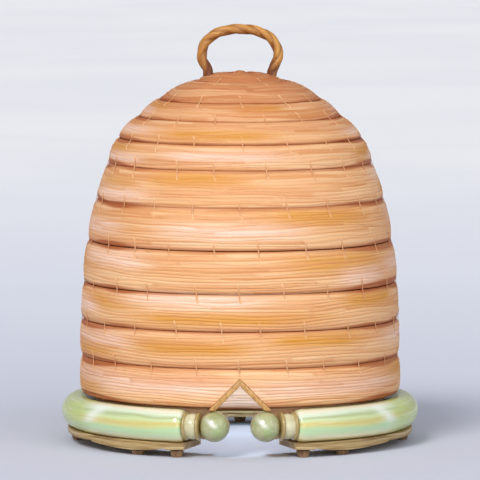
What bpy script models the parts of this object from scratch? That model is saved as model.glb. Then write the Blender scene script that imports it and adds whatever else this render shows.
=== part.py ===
"""A straw skep beehive that stands inside a painted ring stand.

The skep is a dome of sewn straw rows round a crown knot, with a bent willow
handle through the crown, four cross sticks inside and a boarded gable doorway.
The stand is a pair of round bent bolsters on a flat rail with small turned feet.
Each bolster ends beside the doorway in a collar and a ball.
The doorway faces -Y, and the skep lifts straight up off the rail.
"""

import math

import bmesh
import bpy
from mathutils import Vector

# The clearance between pieces that touch.
GAP = 0.0003

# The straw wall. Its outer profile is a superellipse with a slight swell at the shoulder.
WALL_RADIUS = 0.200
CROWN_HEIGHT = 0.460
SWELL = 0.0065
SWELL_HEIGHT = 0.379
SWELL_SPREAD = 0.022
ROPE_THICKNESS = 0.042
OUTER_SQUARENESS = 4.5
INNER_SQUARENESS = 2.6
ROPE_SIDES = 12
RING_SEGMENTS = 30

# Where one straw row meets the next: by radius over the crown, by height down the wall.
CROWN_JOINT_RADII = (0.012, 0.055)
WALL_JOINT_HEIGHTS = (0.428, 0.406, 0.379, 0.347, 0.302, 0.251, 0.199, 0.153, 0.108, 0.061)

# The last row is drawn in so that it sits on the rail inside the stand's ring. Its two ends
# are at the doorway, one against each jamb.
RIM_RADIUS = 0.180
RIM_THICKNESS = 0.032

# Each row's two ends meet at the back in a slanting scarf, alternately to the left and right.
SCARF_SLANT = math.radians(5.0)
SCARF_GAP = math.radians(0.25)
SCARF_STAGGER = math.radians(11.0)

# The crown knot's profile, as (depth below the top, share of its radius).
KNOT_PROFILE = (
    (0.0, 0.0),
    (0.001, 0.62),
    (0.006, 0.90),
    (0.021, 0.62),
    (0.038, 0.56),
    (ROPE_THICKNESS, 0.0),
)

# How far the tool runs past each end of a hole.
OVERRUN = 0.010

# How many sides the round rods and holes have, by size.
PIN_SIDES = 8
ROD_SIDES = 10
TOGGLE_SIDES = 12
KNOT_SIDES = 14

# The handle hoop.
HOOP_ROD_RADIUS = 0.0065
HOOP_HALF_WIDTH = 0.0475
HOOP_WIDEST_HEIGHT = 0.478
HOOP_TOP_HEIGHT = 0.518
HOOP_SQUARENESS = 2.25
LEG_X = 0.0395
LEG_STRAIGHT_BELOW = 0.456
LEG_END_HEIGHT = 0.374
LEG_POINTS = 4
TOGGLE_HALF_LENGTH = 0.056
TOGGLE_RADIUS = 0.009
TOGGLE_DROP = 0.009
TOGGLE_PROFILE = ((-1.0, 0.55), (-0.97, 0.85), (-0.85, 1.0), (0.85, 1.0), (0.97, 0.85), (1.0, 0.55))
PIN_RADIUS = 0.0018
PIN_HALF_LENGTH = 0.015

# The doorway, a gable over two jambs, measured inside its boards.
DOOR_HALF_WIDTH = 0.030
DOOR_EAVES = 0.058
DOOR_APEX = 0.088
BOARD = 0.006
GABLE_FRONT = -0.2025
GABLE_BACK = -0.149
JAMB_FRONT = -0.1745
JAMB_BACK = -0.146
DOOR_HOLE_FRONT = -0.26
DOOR_HOLE_BACK = -0.11

# The cross sticks that carry the comb, in two crossed pairs at two row joints.
STICK_RADIUS = 0.004
STICK_OFFSET = 0.048
STICK_POINT = 0.012
STICK_TIP_RADIUS = 0.0015
STICK_BITE = 0.003
STICK_LEVELS = (0.199, 0.251)

# The stand's ring.
RING_RADIUS = 0.2015
BOLSTER_RADIUS = 0.0205
BOLSTER_SHOULDER = 0.0012
RAIL_TOP = 0.0185
BOLSTER_FLAT = RAIL_TOP + GAP
RING_HEIGHT = BOLSTER_FLAT + 0.0194
TUBE_SIDES = 14

# Places round the ring, as angles from the front.
BALL_ANGLE = math.radians(8.9)
COLLAR_START = math.radians(13.65)
BOLSTER_START = math.radians(19.55)
RAIL_START = math.radians(18.6)
LAP_HALF_ANGLE = math.radians(6.0)
FRONT = 0.0
BACK = math.pi

BALL_RADIUS = 0.019
COLLAR_RIM_RADIUS = 0.0175
COLLAR_BODY_RADIUS = 0.0155
COLLAR_NECK_RADIUS = 0.0143

# The dowels that tie the ring together.
DOWEL_RADIUS = 0.0045
DOWEL_HALF_LENGTH = 0.026

# The flat rail. Its underside bellies down near the front feet.
RAIL_INNER = 0.150
RAIL_OUTER = 0.214
RAIL_THICKNESS = 0.0075
RAIL_CHAMFER = 0.0015
BELLY_DEPTH = 0.0045
BELLY_ANGLE = math.radians(40.0)
BELLY_SPREAD = math.radians(15.0)

# The feet, by their angle from the front on either side, and the one at the back.
FOOT_ANGLES = {
    "front": math.radians(22.4),
    "flank": math.radians(38.0),
    "side": math.radians(90.0),
    "rear": math.radians(135.0),
}
FOOT_RADIUS = 0.0085
FOOT_TOE_RADIUS = 0.0065
TENON_RADIUS = 0.0045
TENON_TOP = 0.031
FOOT_SIDES = 14

LIFT_AXIS_NAME = "hive_lift_axis"

# Base colour, roughness of each material.
STRAW = ((0.80, 0.46, 0.22), 0.75)
RIM_STRAW = ((0.90, 0.62, 0.38), 0.75)
KNOT_STRAW = ((0.62, 0.33, 0.15), 0.75)
WILLOW = ((0.55, 0.30, 0.10), 0.5)
HAZEL = ((0.42, 0.27, 0.14), 0.65)
DOOR_BOARD = ((0.52, 0.28, 0.10), 0.55)
GREEN_PAINT = ((0.52, 0.66, 0.36), 0.3)
COLLAR_PAINT = ((0.68, 0.72, 0.52), 0.3)
BALL_PAINT = ((0.36, 0.46, 0.20), 0.15)
BROWN_WOOD = ((0.36, 0.24, 0.11), 0.5)
BEECH = ((0.66, 0.48, 0.28), 0.6)


def clear_scene():
    for thing in list(bpy.data.objects):
        bpy.data.objects.remove(thing, do_unlink=True)


def make_empty(name):
    """A parent for one body's pieces, on the skep's upright axis."""
    empty = bpy.data.objects.new(name, None)
    bpy.context.collection.objects.link(empty)
    return empty


def make_material(name, look):
    colour, roughness = look
    material = bpy.data.materials.new(name)
    material.use_nodes = True
    shader = material.node_tree.nodes["Principled BSDF"]
    shader.inputs["Base Color"].default_value = (*colour, 1.0)
    shader.inputs["Roughness"].default_value = roughness
    shader.inputs["Metallic"].default_value = 0.0
    return material


def add_body(name, points, faces, look, parent):
    """One closed mesh with its faces turned outward, smooth but for its real edges."""
    mesh = bpy.data.meshes.new(name)
    mesh.from_pydata([tuple(p) for p in points], [], faces)
    shell = bmesh.new()
    shell.from_mesh(mesh)
    bmesh.ops.recalc_face_normals(shell, faces=shell.faces)
    shell.to_mesh(mesh)
    shell.free()
    mesh.shade_smooth()
    mesh.set_sharp_from_angle(angle=math.radians(40.0))
    body = bpy.data.objects.new(name, mesh)
    bpy.context.collection.objects.link(body)
    body.parent = parent
    if look is not None:
        mesh.materials.append(make_material(name, look))
    return body


def skin(name, loops, look, parent):
    """A closed body through loops of points. A loop of one point is a pole."""
    points = []
    starts = []
    for loop in loops:
        starts.append(len(points))
        points.extend(loop)
    sides = max(len(loop) for loop in loops)
    faces = []
    for i in range(len(loops) - 1):
        a, b = starts[i], starts[i + 1]
        for k in range(sides):
            n = (k + 1) % sides
            if len(loops[i]) == 1:
                faces.append((a, b + n, b + k))
            elif len(loops[i + 1]) == 1:
                faces.append((a + k, a + n, b))
            else:
                faces.append((a + k, a + n, b + n, b + k))
    for end in (0, len(loops) - 1):
        if len(loops[end]) > 1:
            middle = len(points)
            points.append(sum(loops[end], Vector()) / sides)
            first = starts[end]
            faces.extend((first + k, first + (k + 1) % sides, middle) for k in range(sides))
    return add_body(name, points, faces, look, parent)


def prism(name, outline, front, back, look, parent):
    """An outline of (x, z) points run straight through from front to back along Y."""
    loops = [[Vector((x, y, z)) for x, z in outline] for y in (front, back)]
    points = loops[0] + loops[1]
    n = len(outline)
    faces = [tuple(range(n)), tuple(range(n, 2 * n))]
    faces.extend((k, (k + 1) % n, n + (k + 1) % n, n + k) for k in range(n))
    return add_body(name, points, faces, look, parent)


def tube(name, path, radii, sides, look, parent):
    """A round rod along a path, with its own radius at each point and flat or pointed ends."""
    loops = []
    side = None
    for i, point in enumerate(path):
        ahead = path[min(i + 1, len(path) - 1)]
        behind = path[max(i - 1, 0)]
        along = (ahead - behind).normalized()
        if side is None:
            side = along.orthogonal().normalized()
        side = (side - along * side.dot(along)).normalized()
        across = along.cross(side)
        if radii[i] == 0.0:
            loops.append([point])
            continue
        turns = [2.0 * math.pi * k / sides for k in range(sides)]
        loops.append(
            [point + radii[i] * (math.cos(t) * side + math.sin(t) * across) for t in turns]
        )
    return skin(name, loops, look, parent)


def rod(name, start, end, radius, sides, look, parent):
    """A straight round rod with square ends."""
    return tube(name, [start, end], [radius, radius], sides, look, parent)


def bore(name, start, end, radius, sides, parent):
    """A cutter for a round hole whose flats stay clear of a rod of the given radius."""
    hole_radius = (radius + GAP) / math.cos(math.pi / sides)
    return rod(name, start, end, hole_radius, sides, None, parent)


def cut(body, cutter):
    """Takes the cutter's shape out of the body."""
    cutter.hide_render = True
    cutter.hide_set(True)
    cutter.display_type = "WIRE"
    boolean = body.modifiers.new("cut_" + cutter.name, "BOOLEAN")
    boolean.operation = "DIFFERENCE"
    boolean.solver = "EXACT"
    boolean.object = cutter


def on_ring(angle, radius, height):
    """A point at an angle from the front, measured towards +X."""
    return Vector((radius * math.sin(angle), -radius * math.cos(angle), height))


def spread(start, end, count):
    """Evenly spaced values from start to end, both included."""
    return [start + (end - start) * i / (count - 1) for i in range(count)]


def wall_point(turn):
    """The wall's outer (radius, height), from the foot at turn 0 to the crown at a right angle."""
    height = CROWN_HEIGHT * math.sqrt(math.sin(turn))
    swell = SWELL * math.exp(-(((height - SWELL_HEIGHT) / SWELL_SPREAD) ** 2))
    return Vector((WALL_RADIUS * math.cos(turn) + swell, height))


def wall_normal(turn):
    """The wall's outward direction in the (radius, height) plane."""
    step = 0.001
    run = wall_point(turn + step) - wall_point(turn - step)
    return Vector((run.y, -run.x)).normalized()


def row_joints():
    """The joints between straw rows as turns of the profile, from the crown down."""
    crown = [math.acos(r / WALL_RADIUS) for r in CROWN_JOINT_RADII]
    wall = [math.asin((h / CROWN_HEIGHT) ** 2) for h in WALL_JOINT_HEIGHTS]
    return crown + wall


def rope_section(top, bottom, top_normal, bottom_normal, thickness):
    """(radius, height, drop) points round one rope, squarish outside and rounder inside.

    drop runs from -1 at the joint above to 1 at the joint below.
    """
    chord = (bottom - top).length
    bulge = (bottom_normal - top_normal).length * chord / 8.0
    section = []
    for k in range(ROPE_SIDES):
        a = 2.0 * math.pi * k / ROPE_SIDES
        power = 2.0 / (OUTER_SQUARENESS if math.sin(a) > 0.0 else INNER_SQUARENESS)
        drop = math.copysign(abs(math.cos(a)) ** power, math.cos(a))
        drop *= 1.0 - 1.6 * GAP / chord
        out = math.copysign(abs(math.sin(a)) ** power, math.sin(a))
        share = (drop + 1.0) / 2.0
        normal = top_normal.lerp(bottom_normal, share).normalized()
        depth = thickness * (1.0 - out) / 2.0 - bulge * (1.0 - drop * drop)
        point = top.lerp(bottom, share) - normal * depth
        section.append((point.x, point.y, drop))
    return section


def straw_ring(name, section, scarf_angle, look, parent):
    """A rope section carried once round the hive, its ends meeting in a slanting scarf."""
    loops = []
    for angle in spread(scarf_angle, scarf_angle + 2.0 * math.pi - SCARF_GAP, RING_SEGMENTS + 1):
        loops.append([on_ring(angle + SCARF_SLANT * d, r, z) for r, z, d in section])
    return skin(name, loops, look, parent)


def make_rows(skep):
    """The straw rows, numbered from the crown down, with the drawn-in rim row last."""
    joints = row_joints()
    rows = []
    for i in range(len(joints) - 1):
        top, bottom = joints[i], joints[i + 1]
        section = rope_section(
            wall_point(top),
            wall_point(bottom),
            wall_normal(top),
            wall_normal(bottom),
            ROPE_THICKNESS,
        )
        scarf = BACK + SCARF_STAGGER * (1 if i % 2 else -1)
        rows.append(straw_ring(f"straw_row_{i + 1:02d}", section, scarf, STRAW, skep))
    outward = Vector((1.0, 0.0))
    rim = rope_section(
        Vector((RIM_RADIUS, WALL_JOINT_HEIGHTS[-1] - GAP)),
        Vector((RIM_RADIUS, RAIL_TOP + GAP / 2.0)),
        outward,
        outward,
        RIM_THICKNESS,
    )
    rows.append(straw_ring("rim_row", rim, FRONT, RIM_STRAW, skep))
    return rows


def make_crown_knot(skep):
    """The tight plug that the first row is wound round."""
    radius = CROWN_JOINT_RADII[0] - GAP
    path = [Vector((0.0, 0.0, CROWN_HEIGHT - depth)) for depth, _ in KNOT_PROFILE]
    radii = [radius * share for _, share in KNOT_PROFILE]
    return tube("crown_knot", path, radii, KNOT_SIDES, KNOT_STRAW, skep)


def hoop_path():
    """The handle's centre line, up one leg, over the loop and down the other."""
    rise = HOOP_TOP_HEIGHT - HOOP_ROD_RADIUS - HOOP_WIDEST_HEIGHT
    right = []
    for height in spread(LEG_END_HEIGHT, LEG_STRAIGHT_BELOW, LEG_POINTS):
        right.append(Vector((LEG_X, 0.0, height)))
    for height in spread(LEG_STRAIGHT_BELOW + 0.005, HOOP_WIDEST_HEIGHT, 5):
        share = (HOOP_WIDEST_HEIGHT - height) / (HOOP_WIDEST_HEIGHT - LEG_STRAIGHT_BELOW)
        pinch = (HOOP_HALF_WIDTH - LEG_X) * (1.0 - math.cos(math.pi * share)) / 2.0
        right.append(Vector((HOOP_HALF_WIDTH - pinch, 0.0, height)))
    for a in spread(math.radians(10.0), math.radians(90.0), 9):
        x = HOOP_HALF_WIDTH * abs(math.cos(a)) ** (2.0 / HOOP_SQUARENESS)
        z = HOOP_WIDEST_HEIGHT + rise * math.sin(a) ** (2.0 / HOOP_SQUARENESS)
        right.append(Vector((x, 0.0, z)))
    left = [Vector((-p.x, 0.0, p.z)) for p in reversed(right[:-1])]
    return right + left


def make_handle(skep, first_row):
    """The hoop, with its legs through the crown and a toggle pinned under it."""
    path = hoop_path()
    radii = [HOOP_ROD_RADIUS] * len(path)
    hoop = tube("handle_hoop", path, radii, ROD_SIDES, WILLOW, skep)
    inner_crown = wall_point(math.acos(LEG_X / WALL_RADIUS)).y - ROPE_THICKNESS
    toggle_height = inner_crown - TOGGLE_RADIUS - TOGGLE_DROP
    toggle = make_toggle(skep, toggle_height)
    pin_height = toggle_height - TOGGLE_RADIUS - PIN_RADIUS - GAP
    for side, name in ((-1, "left"), (1, "right")):
        x = side * LEG_X
        for body, tag in ((first_row, "row"), (toggle, "toggle")):
            low = Vector((x, 0.0, LEG_END_HEIGHT - OVERRUN))
            high = Vector((x, 0.0, LEG_STRAIGHT_BELOW + OVERRUN))
            hole = bore(f"leg_hole_{tag}_{name}", low, high, HOOP_ROD_RADIUS, TOGGLE_SIDES, skep)
            cut(body, hole)
        pin_ends = [Vector((x, y, pin_height)) for y in (-PIN_HALF_LENGTH, PIN_HALF_LENGTH)]
        rod(f"handle_pin_{name}", *pin_ends, PIN_RADIUS, PIN_SIDES, BEECH, skep)
        cut(hoop, bore(f"pin_hole_{name}", *pin_ends, PIN_RADIUS, PIN_SIDES, skep))


def make_toggle(skep, height):
    """The wooden bar inside the crown that the handle pulls against."""
    path = [Vector((TOGGLE_HALF_LENGTH * reach, 0.0, height)) for reach, _ in TOGGLE_PROFILE]
    radii = [TOGGLE_RADIUS * girth for _, girth in TOGGLE_PROFILE]
    return tube("handle_toggle", path, radii, TOGGLE_SIDES, BEECH, skep)


def make_door(skep, pierced_rows):
    """Two gable boards leaning together over two jamb boards, in a hole through the straw."""
    slant = BOARD * math.sqrt(2.0)
    half_gap = GAP / 2.0
    for side, name in ((-1, "left"), (1, "right")):
        gable = [
            (side * half_gap, DOOR_APEX - half_gap),
            (side * DOOR_HALF_WIDTH, DOOR_EAVES),
            (side * (DOOR_HALF_WIDTH + slant), DOOR_EAVES),
            (side * half_gap, DOOR_APEX + slant - half_gap),
        ]
        prism(f"door_gable_{name}", gable, GABLE_FRONT, GABLE_BACK, DOOR_BOARD, skep)
        jamb = [
            (side * DOOR_HALF_WIDTH, RAIL_TOP + GAP),
            (side * (DOOR_HALF_WIDTH + BOARD), RAIL_TOP + GAP),
            (side * (DOOR_HALF_WIDTH + BOARD), DOOR_EAVES - GAP),
            (side * DOOR_HALF_WIDTH, DOOR_EAVES - GAP),
        ]
        prism(f"door_jamb_{name}", jamb, JAMB_FRONT, JAMB_BACK, DOOR_BOARD, skep)
    jamb_side = DOOR_HALF_WIDTH + BOARD + GAP
    gable_side = DOOR_HALF_WIDTH + slant + 3.0 * GAP
    shelf = DOOR_EAVES - 2.0 * GAP
    peak = DOOR_APEX + slant + 3.0 * GAP
    opening = [
        (-jamb_side, 0.0),
        (-jamb_side, shelf),
        (-gable_side, shelf),
        (0.0, peak),
        (gable_side, shelf),
        (jamb_side, shelf),
        (jamb_side, 0.0),
    ]
    for row in pierced_rows:
        name = "door_hole_" + row.name
        cut(row, prism(name, opening, DOOR_HOLE_FRONT, DOOR_HOLE_BACK, None, skep))


def make_sticks(skep):
    """Two crossed pairs of pointed sticks, their points in the grooves between rows."""
    for level, direction in zip(STICK_LEVELS, ("across", "through")):
        turn = math.asin((level / CROWN_HEIGHT) ** 2)
        reach_radius = wall_point(turn).x - ROPE_THICKNESS + STICK_BITE
        reach = math.sqrt(reach_radius**2 - STICK_OFFSET**2)
        for side, name in ((-1, "a"), (1, "b")):
            ends = (-reach, -reach + STICK_POINT, reach - STICK_POINT, reach)
            if direction == "across":
                path = [Vector((x, side * STICK_OFFSET, level)) for x in ends]
            else:
                path = [Vector((side * STICK_OFFSET, y, level)) for y in ends]
            radii = [STICK_TIP_RADIUS, STICK_RADIUS, STICK_RADIUS, STICK_TIP_RADIUS]
            tube(f"cross_stick_{direction}_{name}", path, radii, ROD_SIDES, HAZEL, skep)


def ring_tube(name, stations, look, parent):
    """A round body bent to the stand's ring, through (angle, radius) stations.

    A station of no radius is a pole. The underside is flat where it meets the rail.
    """
    loops = []
    for angle, radius in stations:
        if radius == 0.0:
            loops.append([on_ring(angle, RING_RADIUS, RING_HEIGHT)])
            continue
        loop = []
        for k in range(TUBE_SIDES):
            a = 2.0 * math.pi * (k + 0.5) / TUBE_SIDES
            height = max(RING_HEIGHT + radius * math.sin(a), BOLSTER_FLAT)
            loop.append(on_ring(angle, RING_RADIUS + radius * math.cos(a), height))
        loops.append(loop)
    return skin(name, loops, look, parent)


def dowel_ends(angle, half_length):
    """The ends of a straight line of some length lying along the ring at one angle."""
    middle = on_ring(angle, RING_RADIUS, RING_HEIGHT)
    along = Vector((math.cos(angle), math.sin(angle), 0.0))
    return middle - along * half_length, middle + along * half_length


def fit_dowel(name, angle, bodies, stand):
    """A dowel along the ring at one angle, let into each of the bodies."""
    rod(name, *dowel_ends(angle, DOWEL_HALF_LENGTH), DOWEL_RADIUS, ROD_SIDES, BEECH, stand)
    for body in bodies:
        ends = dowel_ends(angle, DOWEL_HALF_LENGTH + GAP)
        cut(body, bore(f"{name}_hole_{body.name}", *ends, DOWEL_RADIUS, ROD_SIDES, stand))


def make_bolster(stand, side, name):
    """One half of the green ring, from its collar round to the middle of the back."""
    half_gap = GAP / 2.0 / RING_RADIUS
    stations = [
        (side * a, BOLSTER_RADIUS) for a in spread(BOLSTER_START, BACK - half_gap, 24)
    ]
    first, last = stations[0][0], stations[1][0]
    stations.insert(1, (first + (last - first) * 0.12, BOLSTER_RADIUS))
    stations[0] = (first, BOLSTER_RADIUS - BOLSTER_SHOULDER)
    return ring_tube(f"bolster_{name}", stations, GREEN_PAINT, stand)


def make_collar(stand, side, name):
    """The turned collar between bolster and ball, a rim at each end of a low barrel."""
    width = BOLSTER_START - COLLAR_START - 2.0 * GAP / RING_RADIUS
    start = COLLAR_START + GAP / RING_RADIUS
    profile = (
        (0.0, COLLAR_BODY_RADIUS),
        (0.04, COLLAR_RIM_RADIUS),
        (0.20, COLLAR_RIM_RADIUS),
        (0.26, COLLAR_NECK_RADIUS),
        (0.50, COLLAR_BODY_RADIUS),
        (0.74, COLLAR_NECK_RADIUS),
        (0.80, COLLAR_RIM_RADIUS),
        (0.96, COLLAR_RIM_RADIUS),
        (1.0, COLLAR_BODY_RADIUS),
    )
    stations = [(side * (start + width * share), radius) for share, radius in profile]
    return ring_tube(f"collar_{name}", stations, COLLAR_PAINT, stand)


def make_ball(stand, side, name):
    """The ball at the front end, with a small flat where it meets its collar."""
    reach = BALL_RADIUS / RING_RADIUS
    flat = (COLLAR_START - BALL_ANGLE) / reach
    stations = [(side * (BALL_ANGLE - reach), 0.0)]
    for tilt in spread(-math.pi / 2.0, math.asin(flat), 12)[1:]:
        angle = BALL_ANGLE + reach * math.sin(tilt)
        stations.append((side * angle, BALL_RADIUS * math.cos(tilt)))
    return ring_tube(f"ball_{name}", stations, BALL_PAINT, stand)


def rail_bottom(angle):
    """The height of the rail's underside, lower where it bellies near the front feet."""
    off = (abs(angle) - BELLY_ANGLE) / BELLY_SPREAD
    return RAIL_TOP - RAIL_THICKNESS - BELLY_DEPTH * math.exp(-off * off)


def make_rail(stand, side, name):
    """One half of the flat rail, running past the middle of the back to lap with the other."""
    c = RAIL_CHAMFER
    loops = []
    for angle in spread(RAIL_START, BACK + LAP_HALF_ANGLE, 26):
        low = rail_bottom(angle)
        section = (
            (RAIL_OUTER - c, low),
            (RAIL_OUTER, low + c),
            (RAIL_OUTER, RAIL_TOP - c),
            (RAIL_OUTER - c, RAIL_TOP),
            (RAIL_INNER, RAIL_TOP),
            (RAIL_INNER, low),
        )
        loops.append([on_ring(side * angle, r, z) for r, z in section])
    return skin(f"rail_{name}", loops, BROWN_WOOD, stand)


def cut_lap(rail, stand, side, low, high):
    """Takes half the rail's thickness away over the lap at the back."""
    r_in, r_out = RAIL_INNER - OVERRUN, RAIL_OUTER + OVERRUN
    edge = LAP_HALF_ANGLE + 2.0 * GAP / RING_RADIUS
    loops = []
    for angle in spread(BACK - edge, BACK + edge * 1.5, 8):
        section = ((r_in, low), (r_out, low), (r_out, high), (r_in, high))
        loops.append([on_ring(side * angle, r, z) for r, z in section])
    cut(rail, skin("lap_" + rail.name, loops, None, stand))


def make_foot(stand, name, angle, tenon_top):
    """A small turned foot, its tenon passing up through the rail."""
    reach = FOOT_RADIUS / RING_RADIUS
    seat = min(rail_bottom(angle + step * reach) for step in (-1, 0, 1)) - 2.0 * GAP
    x, y, _ = on_ring(angle, RING_RADIUS, 0.0)
    profile = (
        (0.0, FOOT_TOE_RADIUS),
        (0.25 * seat, FOOT_RADIUS - 0.0005),
        (0.75 * seat, FOOT_RADIUS),
        (seat, FOOT_RADIUS - 0.0008),
        (seat, TENON_RADIUS),
        (tenon_top - 0.001, TENON_RADIUS),
        (tenon_top, TENON_RADIUS - 0.001),
    )
    loops = []
    for height, radius in profile:
        turns = [2.0 * math.pi * k / FOOT_SIDES for k in range(FOOT_SIDES)]
        loops.append(
            [Vector((x + radius * math.cos(t), y + radius * math.sin(t), height)) for t in turns]
        )
    return skin(f"foot_{name}", loops, BROWN_WOOD, stand)


def bore_foot(stand, body, name, angle, top):
    """A round hole up from below for one foot's tenon."""
    low, high = on_ring(angle, RING_RADIUS, -OVERRUN), on_ring(angle, RING_RADIUS, top)
    cut(body, bore(f"tenon_hole_{name}", low, high, TENON_RADIUS, FOOT_SIDES, stand))


def make_stand_side(stand, side, name):
    """Everything on one side of the stand. Returns its bolster and its rail."""
    bolster = make_bolster(stand, side, name)
    collar = make_collar(stand, side, name)
    ball = make_ball(stand, side, name)
    rail = make_rail(stand, side, name)
    collar_angle = side * (COLLAR_START + BOLSTER_START) / 2.0
    fit_dowel(f"finial_dowel_{name}", collar_angle, (bolster, collar, ball), stand)
    for place, angle in FOOT_ANGLES.items():
        foot = f"{place}_{name}"
        make_foot(stand, foot, side * angle, TENON_TOP)
        bore_foot(stand, rail, foot + "_rail", side * angle, RAIL_TOP + OVERRUN)
        bore_foot(stand, bolster, foot + "_bolster", side * angle, TENON_TOP + GAP)
    return bolster, rail


def make_stand(stand):
    """The two sides, joined at the back by a dowel above and a pinned half lap below."""
    left_bolster, left_rail = make_stand_side(stand, -1, "left")
    right_bolster, right_rail = make_stand_side(stand, 1, "right")
    fit_dowel("bolster_dowel", BACK, (left_bolster, right_bolster), stand)
    lap = RAIL_TOP - RAIL_THICKNESS / 2.0
    cut_lap(left_rail, stand, -1, 0.0, lap + GAP / 2.0)
    cut_lap(right_rail, stand, 1, lap - GAP / 2.0, RAIL_TOP + OVERRUN)
    make_foot(stand, "back", BACK, RAIL_TOP)
    for rail in (left_rail, right_rail):
        bore_foot(stand, rail, "back_" + rail.name, BACK, RAIL_TOP + OVERRUN)


def make_skep(skep):
    """The lift-off hive."""
    rows = make_rows(skep)
    make_crown_knot(skep)
    make_handle(skep, rows[0])
    make_door(skep, rows[-2:])
    make_sticks(skep)


clear_scene()
make_stand(make_empty("stand"))
make_skep(make_empty(LIFT_AXIS_NAME))
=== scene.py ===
"""The looks of the straw beehive: sewn straw rows, twisted willow handle, painted ring stand.

Each piece follows the place and section of the CAD node that it stands for. Lengths are in
metres and angles in radians, measured round the upright axis from the front, -Y, towards +X.
"""

import math
from contextlib import contextmanager

import bmesh
import bpy
import numpy as np
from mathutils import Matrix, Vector
from mathutils.kdtree import KDTree


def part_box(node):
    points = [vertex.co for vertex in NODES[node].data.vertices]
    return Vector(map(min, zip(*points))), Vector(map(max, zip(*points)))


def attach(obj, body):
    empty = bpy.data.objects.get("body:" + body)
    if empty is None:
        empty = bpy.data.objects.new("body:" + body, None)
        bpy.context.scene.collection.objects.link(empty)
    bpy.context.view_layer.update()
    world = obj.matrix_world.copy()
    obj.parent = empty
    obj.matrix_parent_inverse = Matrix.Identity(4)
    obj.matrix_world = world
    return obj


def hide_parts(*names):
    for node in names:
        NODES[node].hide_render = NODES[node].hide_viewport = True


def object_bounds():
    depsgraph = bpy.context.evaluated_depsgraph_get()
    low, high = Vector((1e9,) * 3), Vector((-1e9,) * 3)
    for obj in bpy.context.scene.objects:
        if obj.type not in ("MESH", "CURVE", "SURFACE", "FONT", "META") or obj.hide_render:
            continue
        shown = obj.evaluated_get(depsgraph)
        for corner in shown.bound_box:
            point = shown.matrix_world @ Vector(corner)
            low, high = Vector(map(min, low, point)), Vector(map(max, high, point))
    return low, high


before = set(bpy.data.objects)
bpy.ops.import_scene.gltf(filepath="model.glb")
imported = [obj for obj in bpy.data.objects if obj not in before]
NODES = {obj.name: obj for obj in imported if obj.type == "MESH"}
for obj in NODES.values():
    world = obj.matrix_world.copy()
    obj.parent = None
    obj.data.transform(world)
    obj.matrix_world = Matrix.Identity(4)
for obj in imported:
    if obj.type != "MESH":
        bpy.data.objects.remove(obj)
CAD_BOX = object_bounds()
TURN = 2.0 * math.pi
UP = np.array((0.0, 0.0, 1.0))

SEED = 7
LEFT_AND_RIGHT = ((-1, "left"), (1, "right"))

# The clearance between two pieces, and the edge angle from which shading is sharp.
GAP = 0.0003
SHARP_ANGLE = math.radians(50.0)

# A turned body's radius at the middle of its ends.
TIP = 0.0004

# Angles from the front between which a row has neither a doorway nor a scarf, the least
# distance between two corners of its section, and the step that its slope is taken over.
PLAIN_SPAN = (math.radians(25.0), math.radians(80.0))
CORNER_LEAST = 0.0005
NORMAL_STEP = 0.0012

# The camera: in front and a long way off, as the picture's flat perspective is.
VIEW_DISTANCE = 8.0
VIEW_HEIGHT = 0.93
VIEW_CENTRE_HEIGHT = 0.249
VIEW_WIDTH = 0.596
SENSOR_WIDTH = 36.0

# The straw in a row: long strands side by side round the rope.
STRAND_PITCH = 0.0042
STRAND_RELIEF = 0.0009
STRAND_PROFILE = (0.0, 0.8, 1.0, 0.8)
STRAND_LENGTH = 0.24
STRAND_END = 0.004
STRAND_WAVER = 0.13
STRAND_END_DIP = 0.75
STRAND_TONE_DIP = 0.3
ROW_WANDER = 0.5
ROW_STEP = 0.0055
ROW_SAG = 0.0008

# Beside a joint the strands lie flat and swell to close it. Each row's section is filled out
# to its joints from the floor of the groove in.
FLAT_FROM = (0.86, 0.96)
FLATTENED = 0.9
BESIDE_JOINT = 0.7
JOINT_SWELL = 0.00012
GROOVE_FLOOR = (0.0034, 0.0050)

# The slanting scarf where a row's two ends meet.
SCARF_GAP = math.radians(0.25)
SCARF_SLANT = math.radians(5.0)
SCARF_STAGGER = math.radians(11.0)
SCARF_ROUNDING = 0.004
SCARF_PINCH = 0.0016

# Where the sides begin, with their wider brown strokes and painted shade, and how far in the
# inside starts, which is painted light and pale.
SIDE_FROM = (math.radians(34.0), math.radians(66.0))
INSIDE_WITHIN = 0.006

# The brown strokes of painted shade along the joints: where they start across a row, how much
# sooner at the sides, and how far they take to set in.
STROKE_FROM = 0.82
STROKE_WIDER = 0.2
STROKE_FADE = 0.15

# How brown the valleys between strands and the sides are, as painted shade, and the ends of
# straws.
VALLEY_PAINTED_SHADE = 0.34
END_BROWN = 0.3
SIDE_PAINTED_SHADE = 0.2

# How much browner some rows are, from none to 1, most of all near the crown.
ROW_SHADE = {1: 0.76, 2: 0.58, 3: 0.4, 4: 0.28, 5: 0.2, 6: 0.1, 7: 0.06, 10: 0.14}

# The stitches: how deep in the joint they are measured from, then their (distance from
# there, height over the straw) stops on each row, and how far the joint pulls them in.
STITCH_DEPTH = 0.0042
STITCH_STOPS = ((0.0078, -0.0006), (0.0108, -0.0009), (0.013, -0.003))
STITCH_PULL = 0.0012
STITCH_SPACING = 0.056
STITCH_SLANT = 0.007
STITCH_WIDTH = 0.0020
STITCH_THICKNESS = 0.0008

# How far the doorway's cut runs, front to back, and how near points merge after it.
DOOR_CUT_FRONT = -0.27
DOOR_CUT_BACK = -0.11
WELD = 0.00002

# The handle's hoop, as in the CAD, and how long one turn of its twist is.
HOOP_WIDEST = 0.478
HOOP_SQUARENESS = 2.25
LEG_STRAIGHT_BELOW = 0.456
HOOP_STEP = 0.002
HOOP_TWIST = 0.066
HOOP_LOBES = 3
HOOP_GROOVE = 0.0014
HOOP_CROWN_DARK = (0.474, 0.458)

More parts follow.
